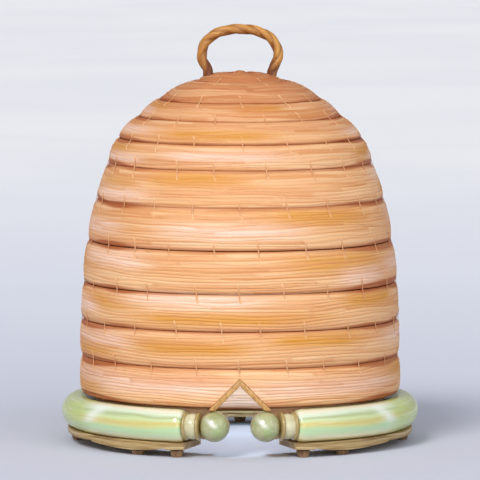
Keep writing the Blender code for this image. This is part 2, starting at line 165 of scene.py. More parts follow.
# The rail's thickness away from its belly, and how its edges are rounded.
RAIL_THICKNESS = 0.0075
RAIL_ROUNDING = 0.0012
RAIL_LAP_LEAST = 0.005

# Patches of ripe ochre and of pale straw, the front's pale ones painted highlights: row, middle
# and half width in degrees from the front, then the middle across the row, from -1 at the joint
# above to 1 at the joint below.
# PATCH_RISE is their half width across the row, and HIDDEN_MIDDLES the middles, in degrees,
# of those at the sides and back, which are otherwise drawn at random.
PATCH_RISE = 0.42
OCHRE_PATCHES = (
    (3, 12, 16, -0.2),
    (4, -12, 29, 0.35),
    (6, -20, 22, -0.5),
    (7, 34, 24, -0.5),
    (8, 41, 23, -0.35),
    (9, -4, 36, 0.35),
    (9, 56, 16, -0.5),
    (10, -18, 22, -0.1),
    (10, 30, 20, -0.5),
)
PALE_AND_HIGHLIGHT_PATCHES = (
    (5, -8, 28, 0.0),
    (7, -4, 28, 0.15),
    (8, 52, 12, 0.35),
    (9, -20, 30, -0.6),
    (11, -34, 34, 0.0),
    (11, 36, 34, 0.1),
)
HIDDEN_MIDDLES = (100.0, 165.0, 230.0, 290.0)

# A collar's radius at its rims, neck and waist, and each rim bead's share of its width.
COLLAR_RIM = 0.0175
COLLAR_NECK = 0.0146
COLLAR_WAIST = 0.0158
COLLAR_BEAD = 0.22

# Shares of a ring half's length where its front and back ends are rounded.
RING_SHOULDER = 0.016
RING_BACK = 0.005

# Angles from the front where the ring's greener side, a painted shade, sets in and fades out,
# and the middle and half width of the white stroke before it, a painted highlight.
SHADE_GREENER_FROM = (math.radians(55.0), math.radians(66.0))
SHADE_GREENER_TO = (math.radians(112.0), math.radians(130.0))
HIGHLIGHT_MIDDLE = math.radians(57.0)
HIGHLIGHT_WIDTH = math.radians(3.2)

# A ball's painted highlight, a pale stroke, and its green spot, in ball radii: their middles as
# (right, up), the stroke's (length, width) and the spot's radius, and the (right, up) way the
# stroke's width runs.
SHINE_MIDDLE = (-0.22, 0.30)
SHINE_SIZE = (0.40, 0.15)
SHINE_ACROSS = (0.66, 0.75)
GREEN_MIDDLE = (0.22, -0.30)
GREEN_SIZE = 0.38

# The two lamps inside the skep: their power in watts, and their place and their aim.
DOWN_POWER = 0.95
DOWN_LINE = ((0.0, -0.02, 0.33), (0.0, -0.02, 0.0))
TO_BACK_POWER = 1.9
TO_BACK_CONE = math.radians(62.0)
TO_BACK_LINE = ((0.0, -0.12, 0.125), (0.0, 0.17, 0.075))

# The ring's painted stripes, as stops from its underside, 0, to its top, 1.
# The pale band at 0.75 to 0.86 is a painted highlight, and the olive at 0.06 painted shade.
RING_STRIPES_AND_PAINTED_LIGHT = (
    (0.06, "b39b5e"), (0.15, "ddcd8c"), (0.24, "f3ebc0"), (0.34, "cfe0b2"),
    (0.44, "b6daa9"), (0.52, "d2cd88"), (0.57, "d0be70"), (0.64, "c8d8a0"),
    (0.69, "abb686"), (0.75, "d6e4ca"), (0.86, "eae3cd"), (0.95, "c9d09f"),
)

FLOOR_RADIUS = 40.0

# The floor's colours, by distance from the object as a share of FLOOR_PALE_FROM, darker near it
# as painted shade.
FLOOR_PALE_FROM = 5.0
FLOOR_COLOURS_AND_SHADE = ((0.05, "ccd0de"), (0.45, "dfe2ec"), (0.95, "eeeff3"))


# ---------------------------------------------------------------- node helpers


def srgb(text):
    """A linear colour from a hexadecimal sRGB one."""
    parts = [int(text[i : i + 2], 16) / 255.0 for i in (0, 2, 4)]
    linear = [p / 12.92 if p <= 0.04045 else ((p + 0.055) / 1.055) ** 2.4 for p in parts]
    return (*linear, 1.0)


def start_material(name, **sockets):
    """A new material. Returns it, its node tree and its shader, with sockets set."""
    material = bpy.data.materials.new(name)
    material.use_nodes = True
    tree = material.node_tree
    shader = tree.nodes["Principled BSDF"]
    for socket, value in sockets.items():
        shader.inputs[socket.replace("_", " ")].default_value = value
    return material, tree, shader


def put(tree, socket, value):
    """Links an output to a socket, or sets the socket to a number or a hexadecimal colour."""
    if isinstance(value, bpy.types.NodeSocket):
        tree.links.new(value, socket)
    else:
        socket.default_value = srgb(value) if isinstance(value, str) else value


def attribute(tree, name):
    """The three parts of a vector kept on the points, and the vector itself."""
    source = tree.nodes.new("ShaderNodeAttribute")
    source.attribute_name = name
    parts = tree.nodes.new("ShaderNodeSeparateXYZ")
    tree.links.new(source.outputs["Vector"], parts.inputs[0])
    return source.outputs["Vector"], *parts.outputs


def object_place(tree):
    return tree.nodes.new("ShaderNodeTexCoord").outputs["Object"]


def stretched(tree, vector, scale):
    """A vector scaled along each axis."""
    mapping = tree.nodes.new("ShaderNodeMapping")
    tree.links.new(vector, mapping.inputs["Vector"])
    mapping.inputs["Scale"].default_value = scale
    return mapping.outputs["Vector"]


def noise(tree, vector, scale, detail=3.0, distortion=0.0):
    """Noise at a scale, or at a scale along each axis."""
    if not isinstance(scale, float):
        vector, scale = stretched(tree, vector, scale), 1.0
    made = tree.nodes.new("ShaderNodeTexNoise")
    tree.links.new(vector, made.inputs["Vector"])
    made.inputs["Scale"].default_value = scale
    made.inputs["Detail"].default_value = detail
    made.inputs["Distortion"].default_value = distortion
    return made.outputs["Fac"]


def arithmetic(tree, operation, a, b):
    made = tree.nodes.new("ShaderNodeMath")
    made.operation = operation
    put(tree, made.inputs[0], a)
    put(tree, made.inputs[1], b)
    return made.outputs[0]


def times(tree, a, b):
    return arithmetic(tree, "MULTIPLY", a, b)


def reranged(tree, value, low, high, new_low=0.0, new_high=1.0):
    """A value moved smoothly from one range to another, and held at its ends."""
    made = tree.nodes.new("ShaderNodeMapRange")
    made.interpolation_type = "SMOOTHSTEP"
    put(tree, made.inputs["Value"], value)
    limits = {"From Min": low, "From Max": high, "To Min": new_low, "To Max": new_high}
    for socket, limit in limits.items():
        made.inputs[socket].default_value = limit
    return made.outputs["Result"]


def mixed(tree, share, a, b, blend="MIX"):
    """Colour a turning into colour b as share goes from 0 to 1."""
    made = tree.nodes.new("ShaderNodeMix")
    made.data_type = "RGBA"
    made.blend_type = blend
    colour_sockets = [s for s in made.inputs if s.type == "RGBA"]
    put(tree, made.inputs["Factor"], share)
    put(tree, colour_sockets[0], a)
    put(tree, colour_sockets[1], b)
    return next(s for s in made.outputs if s.type == "RGBA")


def ramp(tree, value, stops):
    """A colour read off (place, colour) stops."""
    made = tree.nodes.new("ShaderNodeValToRGB")
    tree.links.new(value, made.inputs["Fac"])
    elements = made.color_ramp.elements
    while len(elements) < len(stops):
        elements.new(0.5)
    for element, (place, colour) in zip(elements, stops):
        element.position = place
        element.color = srgb(colour)
    return made.outputs["Color"]


def finish_material(tree, shader, colour, roughness, relief):
    """Joins up the shader's colour, roughness and relief.

    roughness is a value and the roughness at its low and high end; relief is a height, its
    strength and its depth.
    """
    value, low, high = roughness
    height, strength, depth = relief
    put(tree, shader.inputs["Base Color"], colour)
    put(tree, shader.inputs["Roughness"], reranged(tree, value, 0.3, 0.7, low, high))
    made = tree.nodes.new("ShaderNodeBump")
    made.inputs["Strength"].default_value = strength
    made.inputs["Distance"].default_value = depth
    tree.links.new(height, made.inputs["Height"])
    tree.links.new(made.outputs["Normal"], shader.inputs["Normal"])


# ---------------------------------------------------------------- materials


def straw_material(name, dark, middle, light, crease):
    """Straw whose strands differ in tone, with ochre patches, pale patches partly painted
    highlight, and brown creases and sides painted as shade.
    """
    material, tree, shader = start_material(name, Specular_IOR_Level=0.35)
    grain, _, _, tone = attribute(tree, "grain")
    _, ochre, pale, brown_and_painted_shade = attribute(tree, "tint")
    streaks = noise(tree, grain, (9.0, 260.0, 3.0), 3.0, 0.4)
    cloud = noise(tree, grain, (5.0, 42.0, 0.5), 2.0, 0.6)
    fibres = noise(tree, grain, (60.0, 2400.0, 9.0), 2.0)
    mood = arithmetic(tree, "ADD", times(tree, tone, 0.45), streaks)
    stops = ((0.0, dark), (0.45, middle), (1.0, light))
    colour = ramp(tree, reranged(tree, mood, 0.35, 1.05), stops)
    ripe = times(tree, ochre, reranged(tree, streaks, 0.3, 0.6, 0.6, 1.0))
    colour = mixed(tree, ripe, colour, "d79632")
    # Pale straw, and at the front a painted highlight.
    pale_and_highlight = times(tree, pale, reranged(tree, streaks, 0.3, 0.62, 0.45, 0.95))
    colour = mixed(tree, pale_and_highlight, colour, "f9d6c0")
    colour = mixed(tree, reranged(tree, cloud, 0.48, 0.72, 0.0, 0.45), colour, "dd9a6c")
    colour = mixed(tree, reranged(tree, fibres, 0.35, 0.7, 0.16, 0.0), colour, dark)
    # Brown over the joints, valleys and sides as painted shade, and over straw ends and browner
    # rows.
    edge = times(tree, brown_and_painted_shade, reranged(tree, cloud, 0.25, 0.65, 0.75, 1.0))
    colour = mixed(tree, edge, colour, crease)
    finish_material(tree, shader, colour, (fibres, 0.5, 0.72), (fibres, 0.5, 0.0003))
    return material


def willow_material():
    """Twisted willow with its bark on, golden where it is rubbed, darker where its marks paint
    shade.
    """
    material, tree, shader = start_material("willow_bark")
    grain, _, _, tone = attribute(tree, "grain")
    long_streaks = noise(tree, grain, (30.0, 500.0, 5.0), 3.0, 0.3)
    worn = noise(tree, grain, (22.0, 60.0, 2.0), 2.0)
    colour = ramp(tree, long_streaks, ((0.25, "8a4d1f"), (0.5, "b57730"), (0.75, "cf9a4c")))
    colour = mixed(tree, reranged(tree, worn, 0.45, 0.7, 0.0, 0.8), colour, "dba452")
    # The grain's third part paints shade inside the loop and in the grooves, and darkens the
    # crown end.
    colour = mixed(tree, tone, colour, "6e3a18")
    finish_material(tree, shader, colour, (worn, 0.6, 0.38), (long_streaks, 0.6, 0.0004))
    return material


def wood_material(name, dark, middle, light, scale, roughness, place="object"):
    """Wood with grain along the first axis of its place, darker in the pores."""
    material, tree, shader = start_material(name)
    vector = object_place(tree) if place == "object" else attribute(tree, "grain")[0]
    rings = noise(tree, vector, scale, 4.0, 1.2)
    pores = noise(tree, vector, [5.0 * s for s in scale], 2.0)
    colour = ramp(tree, rings, ((0.3, dark), (0.5, middle), (0.72, light)))
    colour = mixed(tree, reranged(tree, pores, 0.52, 0.75, 0.0, 0.5), colour, dark)
    rough = (rings, roughness + 0.1, roughness - 0.08)
    finish_material(tree, shader, colour, rough, (pores, 0.4, 0.0003))
    return material


def ring_paint():
    """Green oil paint brushed along the ring in soft stripes, with painted highlights and
    painted shade among them, under a gloss varnish.
    """
    material, tree, shader = start_material(
        "ring_green_paint", Coat_Weight=0.6, Coat_Roughness=0.12
    )
    grain, _, height, _ = attribute(tree, "grain")
    wander = noise(tree, grain, (7.0, 1.5, 1.0), 2.0)
    drift = reranged(tree, wander, 0.3, 0.7, -0.045, 0.045)
    band = arithmetic(tree, "ADD", height, drift)
    colour = ramp(tree, band, RING_STRIPES_AND_PAINTED_LIGHT)
    brush = noise(tree, grain, (14.0, 26.0, 1.0), 3.0, 0.3)
    _, side, stroke, _ = attribute(tree, "tint")
    # Painted shade: greener at the ring's sides. Painted highlight: the white stroke.
    shade_greener = times(tree, side, reranged(tree, brush, 0.3, 0.6, 0.5, 0.95))
    colour = mixed(tree, shade_greener, colour, "b9c870")
    painted_highlight = times(tree, stroke, reranged(tree, brush, 0.25, 0.6, 0.4, 0.9))
    colour = mixed(tree, painted_highlight, colour, "eef2ea")
    colour = mixed(tree, reranged(tree, brush, 0.45, 0.75, 0.0, 0.4), colour, "bfca80")
    colour = mixed(tree, reranged(tree, brush, 0.25, 0.42, 0.35, 0.0), colour, "dcebd6")
    finish_material(tree, shader, colour, (brush, 0.22, 0.4), (brush, 0.25, 0.0004))
    return material


def turned_paint(name, middle, light, rim, gloss):
    """Paint on a turned piece: brown rims, painted shade and a painted highlight where its tint
    says.
    """
    material, tree, shader = start_material(name, Coat_Weight=gloss, Coat_Roughness=0.08)
    vector = object_place(tree)
    _, glaze_and_painted_light, shine, green = attribute(tree, "tint")
    cloud = noise(tree, vector, 90.0, 3.0, 0.5)
    colour = ramp(tree, cloud, ((0.3, middle), (0.7, light)))
    colour = mixed(tree, green, colour, "93b46c")
    colour = mixed(tree, shine, colour, "f2f3ec")
    rim_brown_and_painted_shade = times(tree, glaze_and_painted_light, reranged(tree, cloud, 0.2, 0.6, 0.8, 1.0))
    colour = mixed(tree, rim_brown_and_painted_shade, colour, rim)
    finish_material(tree, shader, colour, (cloud, 0.18, 0.34), (cloud, 0.12, 0.0004))
    return material


# ---------------------------------------------------------------- mesh helpers


def write_marks(mesh, marks):
    """Keeps named vectors on the points for the materials to read."""
    for name, values in marks.items():
        if name in mesh.attributes:
            mesh.attributes.remove(mesh.attributes[name])
        layer = mesh.attributes.new(name, "FLOAT_VECTOR", "POINT")
        layer.data.foreach_set("vector", np.asarray(values, np.float32).ravel())


@contextmanager
def edited(mesh):
    """A mesh's editable shell, written back when the block ends."""
    shell = bmesh.new()
    shell.from_mesh(mesh)
    yield shell
    shell.to_mesh(mesh)
    shell.free()


def closed_mesh(name, points, faces):
    """A mesh whose faces all look outward."""
    mesh = bpy.data.meshes.new(name)
    mesh.from_pydata(points, [], faces)
    with edited(mesh) as shell:
        bmesh.ops.recalc_face_normals(shell, faces=shell.faces)
    return mesh


def stacked(*parts):
    """Arrays or numbers broadcast together, as the last axis of one array."""
    return np.stack(np.broadcast_arrays(*parts), axis=-1)


def round_turn(sides):
    """Angles evenly round a full turn."""
    return TURN * np.arange(sides) / sides


def distances(line):
    """How far along a line of points each one is."""
    steps = np.linalg.norm(np.diff(line, axis=0), axis=1)
    return np.concatenate(([0.0], np.cumsum(steps)))


def add_piece(name, points, faces, material, body, nodes, marks=None):
    """One closed mesh piece that rides on a body and stands for CAD nodes."""
    mesh = closed_mesh(name, points, faces)
    write_marks(mesh, marks or {})
    return finish_piece(mesh, material, body, nodes)


def finish_piece(mesh, material, body, nodes):
    """The piece with this mesh, shaded, painted and riding on its body."""
    mesh.shade_smooth()
    mesh.set_sharp_from_angle(angle=SHARP_ANGLE)
    mesh.materials.clear()
    mesh.materials.append(material)
    piece = linked(mesh.name, mesh)
    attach(piece, body)
    if nodes:
        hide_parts(*nodes)
    return piece


def linked(name, data):
    """An object made from a mesh, lamp or camera, put in the scene."""
    made = bpy.data.objects.new(name, data)
    bpy.context.scene.collection.objects.link(made)
    return made


def skinned(loops, marks):
    """Points, faces and marks of a body through closed loops, (stations, sides, 3), capped."""
    stations, sides, _ = loops.shape
    first = np.arange(stations - 1)[:, None] * sides
    k = np.arange(sides)[None, :]
    n = (k + 1) % sides
    quads = np.stack((first + k, first + n, first + sides + n, first + sides + k), axis=-1)
    faces = quads.reshape(-1, 4).tolist()
    points = [loops.reshape(-1, 3)]
    kept = {name: [values.reshape(-1, 3)] for name, values in marks.items()}
    for end in (0, stations - 1):
        points.append(loops[end].mean(axis=0, keepdims=True))
        for name, values in marks.items():
            kept[name].append(values[end].mean(axis=0, keepdims=True))
        middle = stations * sides + (end > 0)
        rim = end * sides
        faces.extend((rim + a, rim + (a + 1) % sides, middle) for a in range(sides))
    marks = {name: np.concatenate(values) for name, values in kept.items()}
    return np.concatenate(points), faces, marks


def on_ring(angle, radius, height):
    """Points at angles from the front, as an array whose last axis is x, y, z."""
    return stacked(radius * np.sin(angle), -radius * np.cos(angle), height)


def cad_points(node):
    mesh = NODES[node].data
    found = np.empty(len(mesh.vertices) * 3, np.float32)
    mesh.vertices.foreach_get("co", found)
    return found.reshape(-1, 3).astype(float)


def cad_polar(node):
    """(angle, radius, height) of each point of a CAD node."""
    x, y, z = cad_points(node).T
    return np.arctan2(x, -y), np.hypot(x, y), z


def cad_section(node):
    """The (radius, height) corners of a ring-shaped CAD node, in order round its section."""
    angle, radius, height = cad_polar(node)
    plain = (np.abs(angle) > PLAIN_SPAN[0]) & (np.abs(angle) < PLAIN_SPAN[1])
    corners = np.column_stack((radius, height))[plain]
    middle = (corners.min(axis=0) + corners.max(axis=0)) / 2.0
    turn = np.arctan2(*(corners - middle).T[::-1])
    corners = corners[np.argsort(turn)]
    far = np.linalg.norm(corners - np.roll(corners, 1, axis=0), axis=1) > CORNER_LEAST
    return corners[far]


def through_corners(corners, steps=16):
    """A smooth closed curve through corners, with a number of steps between each two."""
    a, b, c, d = (np.roll(corners, shift, axis=0) for shift in (1, 0, -1, -2))
    t = np.arange(steps)[:, None, None] / steps
    bend = (2.0 * a - 5.0 * b + 4.0 * c - d) * t**2 + (3.0 * b - a - 3.0 * c + d) * t**3
    curve = 0.5 * (2.0 * b + (c - a) * t + bend)
    return curve.transpose(1, 0, 2).reshape(-1, 2)


class Outline:
    """A closed curve in the (radius, height) plane, read by the distance along it."""

    def __init__(self, curve):
        start = int(np.argmin(curve[:, 0]))
        curve = np.roll(curve, -start, axis=0)
        self.curve = np.vstack((curve, curve[:1]))
        self.marks = distances(self.curve)
        self.length = self.marks[-1]

    def point(self, distance):
        place = np.mod(distance, self.length)
        parts = [np.interp(place, self.marks, self.curve[:, i]) for i in (0, 1)]
        return np.stack(parts, axis=-1)

    def normal(self, distance):
        """The outward direction, for a curve that runs round anticlockwise."""
        run = self.point(distance + NORMAL_STEP) - self.point(distance - NORMAL_STEP)
        out = np.stack((run[..., 1], -run[..., 0]), axis=-1)
        return out / np.linalg.norm(out, axis=-1, keepdims=True)


def ripple(rng, terms, turns, rises=0):
    """A smooth random function of an angle and of a share round a rope, mostly within 1."""
    around = rng.integers(1, turns + 1, terms)
    across = rng.integers(-rises, rises + 1, terms)
    phase = rng.uniform(0.0, TURN, terms)

    def value(angle, share=0.0):
        waves = [
            np.sin(n * angle + TURN * m * share + p)
            for n, m, p in zip(around, across, phase)
        ]
        return sum(waves) / math.sqrt(terms)

    return value


def smoothstep(low, high, value):
    t = np.clip((value - low) / (high - low), 0.0, 1.0)
    return t * t * (3.0 - 2.0 * t)


# ---------------------------------------------------------------- straw rows


class Row:
    """A straw row's section, read from its CAD node, and which way is down the wall there."""

    def __init__(self, node, number):
        self.node = node
        self.number = number
        corners = cad_section(node)
        self.middle = (corners.min(axis=0) + corners.max(axis=0)) / 2.0
        self.outline = Outline(through_corners(corners))
        self.reach = corners[:, 0].max()
        self.down = np.array((0.0, -1.0))
        self.out = np.array((1.0, 0.0))

    def slope(self, above, below):
        """Sets the direction down the wall from the centres of the rows above and below."""
        run = below - above
        self.down = run / np.linalg.norm(run)
        self.out = np.array((-self.down[1], self.down[0]))

    def close_joints(self):
        """Fills the section out to its joints, but for a shallow groove on the outside."""
        curve = self.outline.curve[:-1]
        across = (curve - self.middle) @ self.down
        out = (curve - self.middle) @ self.out
        half = np.abs(across).max()
        share = smoothstep(*GROOVE_FLOOR, out.max() - out) * (out > 0.0)
        share = share * (np.abs(across) > BESIDE_JOINT * half)
        shift = share * (np.sign(across) * half - across)
        self.outline = Outline(curve + shift[:, None] * self.down)

    def level(self, points):
        """Each point's place across the row: -1 at the joint above, 1 at the one below."""
        half = np.abs((self.outline.curve - self.middle) @ self.down).max()
        return ((points - self.middle) @ self.down) / half

    def outer_face(self, depth):
        """The outline's points within a depth of the outside, from the joint above down."""
        curve = self.outline.curve[:-1]
        out = (curve - self.middle) @ self.out
        curve = curve[out > out.max() - depth]
        return curve[np.argsort(self.level(curve))]


def patch_strength(patches, row, angle, level):
    """How far each point lies inside the row's patches, from 0 to 1."""
    strength = np.zeros(np.broadcast(angle, level).shape)
    for patch_row, middle, half, height in patches:
        if patch_row == row:
            off = (angle - math.radians(middle)) / math.radians(half)
            rise = (level - height) / PATCH_RISE
            strength = np.maximum(strength, np.exp(-(off**4) - rise**2))
    return strength


def hidden_side_patches(rng, rows):
    """More patches for the sides and back, where the front's list has none."""
    found = []
    for row in range(3, rows + 1):
        for middle in HIDDEN_MIDDLES:
            middle += rng.uniform(-18.0, 18.0)
            if middle > 180.0:
                middle -= 360.0
            found.append((row, middle, rng.uniform(14.0, 26.0), rng.uniform(-0.5, 0.5)))
    return found


def strand_tones(rng, angle, radius, strands):
    """Each strand's tone along the row, and how near its straws' ends each place is."""
    length = STRAND_LENGTH * rng.uniform(0.6, 1.3, strands) / radius
    start = rng.uniform(0.0, TURN, strands)
    place = (angle[:, None] + start[None, :]) / length[None, :]
    index = np.floor(place)
    number = np.arange(strands)[None, :]
    scrambled = np.sin(number * 12.9898 + index * 78.233 + SEED) * 43758.5453
    tone = scrambled - np.floor(scrambled)
    off = np.abs(place - np.round(place)) * length[None, :] * radius
    return tone, np.exp(-((off / STRAND_END) ** 2))


def strand_lines(rng, angle, strands, strand, blend, share):
    """How far the lines along the strands stray sideways at each angle, in strands."""
    turns = rng.integers(4, 15, (3, 1, strands))
    phase = rng.uniform(0.0, TURN, (3, 1, strands))
    waver = STRAND_WAVER * np.sin(turns * angle[None, :, None] + phase).sum(axis=0)
    follow = (strand + 1) % strands
    stray = waver[:, strand] * (1.0 - blend) + waver[:, follow] * blend
    return stray + ROW_WANDER * ripple(rng, 5, 5, 3)(angle[:, None], share[None, :])


def row_tint(row, rng, patches, flat, lean, ridge, tone, ends):
    """How ochre, pale and brown each point of a row is, from 0 to 1. Pale takes in painted
    highlights and a painted light inside; brown takes in painted shade.

    flat is each point's (radius, height) and lean its angle. ridge, tone and ends are those
    of its strand.
    """
    level = row.level(flat)
    bearing = np.mod(lean + math.pi, TURN) - math.pi
    ochre, pale = (patch_strength(kind, row.number, bearing, level) for kind in patches)
    breakup = 0.8 + 0.5 * tone
    # Painted light: the inside of the skep is made pale all over.
    pale = np.maximum(pale, 1.6 * smoothstep(0.0, INSIDE_WITHIN, (row.middle - flat) @ row.out))
    # Painted shade: brown strokes along the joints, wider and stronger at the sides.
    stroke = np.clip(0.5 + 0.5 * ripple(rng, 5, 8)(bearing), 0.0, 1.0)
    side = smoothstep(*SIDE_FROM, np.abs(bearing))
    joint = (np.abs(level) - STROKE_FROM + STROKE_WIDER * side * stroke) / STROKE_FADE
    joint = smoothstep(0.0, 1.0, joint)
    brown = joint * np.clip(0.45 + 0.35 * stroke + 0.6 * side, 0.0, 1.0)
    # Painted shade between strands and over the sides; brown at strands' ends and over the
    # darker rows.
    valley_shade_and_ends = VALLEY_PAINTED_SHADE * (1.0 - ridge) + END_BROWN * ends
    brown = np.maximum(brown, valley_shade_and_ends * (0.5 + 0.5 * joint))
    brown = np.maximum(brown, SIDE_PAINTED_SHADE * side * (0.4 + 0.6 * stroke))
    brown = np.maximum(brown, ROW_SHADE.get(row.number, 0.0) * (1.15 - 0.3 * tone))
    return np.clip(stacked(ochre * breakup, pale * breakup, brown), 0.0, 1.0)


def straw_row(row, scarf, material, rng, patches):
    """A row of straw strands, from its scarf once round. Returns the piece and its marks.

    patches are the lists of ochre and of pale patches.
    """
    outline = row.outline
    strands = int(round(outline.length / STRAND_PITCH))
    per_strand = len(STRAND_PROFILE)
    stations = max(int(TURN * row.reach / ROW_STEP), 60)
    turn = np.linspace(0.0, TURN - SCARF_GAP, stations)
    angle = scarf + turn
    lines = np.arange(strands * per_strand) / per_strand
    strand = np.arange(strands * per_strand) // per_strand
    share = lines / strands
    stray = strand_lines(rng, angle, strands, strand, lines - strand, share)
    distance = (lines[None, :] + stray) * outline.length / strands
    # How deep each point lies under the CAD section's outline.
    tone, ends = strand_tones(rng, angle, row.reach, strands)
    tone, ends = tone[:, strand], ends[:, strand]
    ridge = np.tile(STRAND_PROFILE, strands)[None, :]
    height = ridge * (1.0 - STRAND_END_DIP * ends)
    height = height * (1.0 - STRAND_TONE_DIP + STRAND_TONE_DIP * tone)
    sag = ROW_SAG * np.abs(0.5 + 0.5 * ripple(rng, 4, 9, 1)(angle[:, None], share[None, :]))
    to_end = np.minimum(turn, turn[-1] - turn) * row.reach
    pinch = SCARF_PINCH * np.exp(-((to_end / SCARF_ROUNDING) ** 2))
    edge = outline.point(distance)
    round_share = 1.0 - FLATTENED * smoothstep(*FLAT_FROM, np.abs(row.level(edge)))
    depth = (STRAND_RELIEF * (1.0 - height) + sag) * round_share + pinch[:, None]
    depth = depth - JOINT_SWELL * (1.0 - round_share)
    flat = edge - outline.normal(distance) * depth[..., None]
    lean = angle[:, None] + SCARF_SLANT * np.clip(row.level(flat), -1.0, 1.0)
    loops = on_ring(lean, flat[..., 0], flat[..., 1])
    marks = {
        "grain": stacked(angle[:, None] * row.reach, distance + 0.37 * row.number, tone),
        "tint": row_tint(row, rng, patches, flat, lean, ridge, tone, ends),
    }
    points, faces, marks = skinned(loops, marks)
    name = f"{row.node}_strands"
    return add_piece(name, points, faces, material, "skep", [row.node], marks), marks


def cut_doorway(piece, marks):
    """Takes the doorway's hole out of a row, just clear of the door's boards.

    The cut drops the marks on the points, so each point takes those of the nearest old one.
    """
    old = KDTree(len(piece.data.vertices))
    for vertex in piece.data.vertices:
        old.insert(vertex.co, vertex.index)
    old.balance()
    _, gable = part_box("door_gable_right")
    _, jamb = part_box("door_jamb_right")
    shelf = jamb.z - GAP
    wide = gable.x + 3.0 * GAP
    peak = (0.0, gable.z + 3.0 * GAP)
    right = [(jamb.x + GAP, 0.0), (jamb.x + GAP, shelf), (wide, shelf), peak]
    outline = right + [(-x, z) for x, z in reversed(right[:-1])]
    count = len(outline)
    points = [(x, y, z) for y in (DOOR_CUT_FRONT, DOOR_CUT_BACK) for x, z in outline]
    faces = [tuple(range(count)), tuple(range(count, 2 * count))]
    faces += [(k, (k + 1) % count, count + (k + 1) % count, count + k) for k in range(count)]
    cutter = linked("doorway_cutter", closed_mesh("doorway_cutter", points, faces))
    hole = piece.modifiers.new("doorway", "BOOLEAN")
    hole.operation = "DIFFERENCE"
    hole.solver = "EXACT"
    hole.object = cutter
    apply_modifiers(piece)
    bpy.data.objects.remove(cutter, do_unlink=True)
    weld(piece.data)
    nearest = [old.find(vertex.co)[1] for vertex in piece.data.vertices]
    write_marks(piece.data, {name: values[nearest] for name, values in marks.items()})


def weld(mesh):
    """Merges points that a cut left on top of each other."""
    with edited(mesh) as shell:
        bmesh.ops.remove_doubles(shell, verts=shell.verts, dist=WELD)
        bmesh.ops.dissolve_degenerate(shell, edges=shell.edges, dist=WELD)


def apply_modifiers(piece):
    """Makes a piece's modifiers part of its mesh."""
    depsgraph = bpy.context.evaluated_depsgraph_get()
    made = bpy.data.meshes.new_from_object(piece.evaluated_get(depsgraph), depsgraph=depsgraph)
    old = piece.data
    piece.modifiers.clear()
    piece.data = made
    made.name = piece.name
    bpy.data.meshes.remove(old)


def read_rows():
    """Every straw row from the crown down, the rim row last."""
    nodes = sorted(n for n in NODES if n.startswith("straw_row_")) + ["rim_row"]
    rows = [Row(node, i + 1) for i, node in enumerate(nodes)]
    low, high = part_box("crown_knot")
    centres = [np.array((0.0, (low.z + high.z) / 2.0))] + [row.middle for row in rows]
    for i, row in enumerate(rows[:-1]):
        row.slope(centres[i], rows[min(i + 1, len(rows) - 2)].middle)
        row.close_joints()
    return rows


def make_rows(rows, rng, patches):
    """All the straw rows, of which the last two are cut by the doorway, and their stitches."""
    straw = straw_material("straw_sewn", "d6965f", "e7b07c", "f2c594", "a95a2b")
    pale = straw_material("straw_pale", "dca46c", "eebd8b", "f8d6ac", "a8653a")
    for i, row in enumerate(rows[:-1]):
        scarf = math.pi + SCARF_STAGGER * (1 if i % 2 else -1)
        piece, marks = straw_row(row, scarf, straw, rng, patches)
    cut_doorway(piece, marks)
    piece, marks = straw_row(rows[-1], 0.0, pale, rng, patches)
    cut_doorway(piece, marks)
    make_stitches(rows, rng, straw)


def stitch_stops(row, face):
    """The points that a stitch passes on one row, from the joint to its sunk end."""
    run = distances(face)
    points = []
    for distance, rise in STITCH_STOPS:
        here, ahead = (
            np.array([np.interp(d, run, face[:, i]) for i in (0, 1)])
            for d in (distance, distance + 0.001)
        )
        normal = np.array((ahead[1] - here[1], here[0] - ahead[0]))
        normal *= math.copysign(1.0, normal @ (here - row.middle)) / np.linalg.norm(normal)
        points.append(here + rise * normal)
    return points


def stitch_path(above, below):
    """A stitch's (radius, height) points over the joint between two rows, ends in the straw."""
    upper = stitch_stops(above, above.outer_face(STITCH_DEPTH)[::-1])
    lower = stitch_stops(below, below.outer_face(STITCH_DEPTH))
    middle = (upper[0] + lower[0]) / 2.0 - STITCH_PULL * below.out
    steps = 5
    corners = np.array(upper[::-1] + [middle] + lower)
    return through_corners(corners, steps)[: steps * (len(corners) - 1) + 1]


def joined(bodies):
    """Points, faces and marks of several bodies as one."""
    points, faces, kept, start = [], [], {}, 0
    for more_points, more_faces, more_marks in bodies:
        points.append(more_points)
        faces += [tuple(start + k for k in face) for face in more_faces]
        start += len(more_points)
        for name, values in more_marks.items():
            kept.setdefault(name, []).append(values)
    marks = {name: np.concatenate(values) for name, values in kept.items()}
    return np.concatenate(points), faces, marks


def stitch(path, run, middle, slant, number, tone):
    """One stitch's points, faces and marks, round a path that slants past a middle angle."""
    turn = round_turn(8)
    share = np.linspace(-0.5, 0.5, len(path))
    angle = middle + share * slant
    centre = on_ring(angle, path[:, 0], path[:, 1])
    normal = on_ring(angle, -run[:, 1], run[:, 0])
    across = np.cross(np.gradient(centre, axis=0), normal)
    across /= np.linalg.norm(across, axis=1, keepdims=True)
    loops = (
        centre[:, None, :]
        + 0.5 * STITCH_WIDTH * np.cos(turn)[None, :, None] * across[:, None, :]
        + 0.5 * STITCH_THICKNESS * np.sin(turn)[None, :, None] * normal[:, None, :]
    )
    # Painted shade: browner at the stitch's middle, where it crosses the joint.
    brown = 0.5 * np.exp(-((share / 0.16) ** 2))[:, None] + 0.0 * turn
    marks = {
        "grain": stacked((share * 0.03 + number)[:, None], turn * STITCH_WIDTH, tone),
        "tint": stacked(0.0, 0.0, brown),
    }
    return skinned(loops, marks)


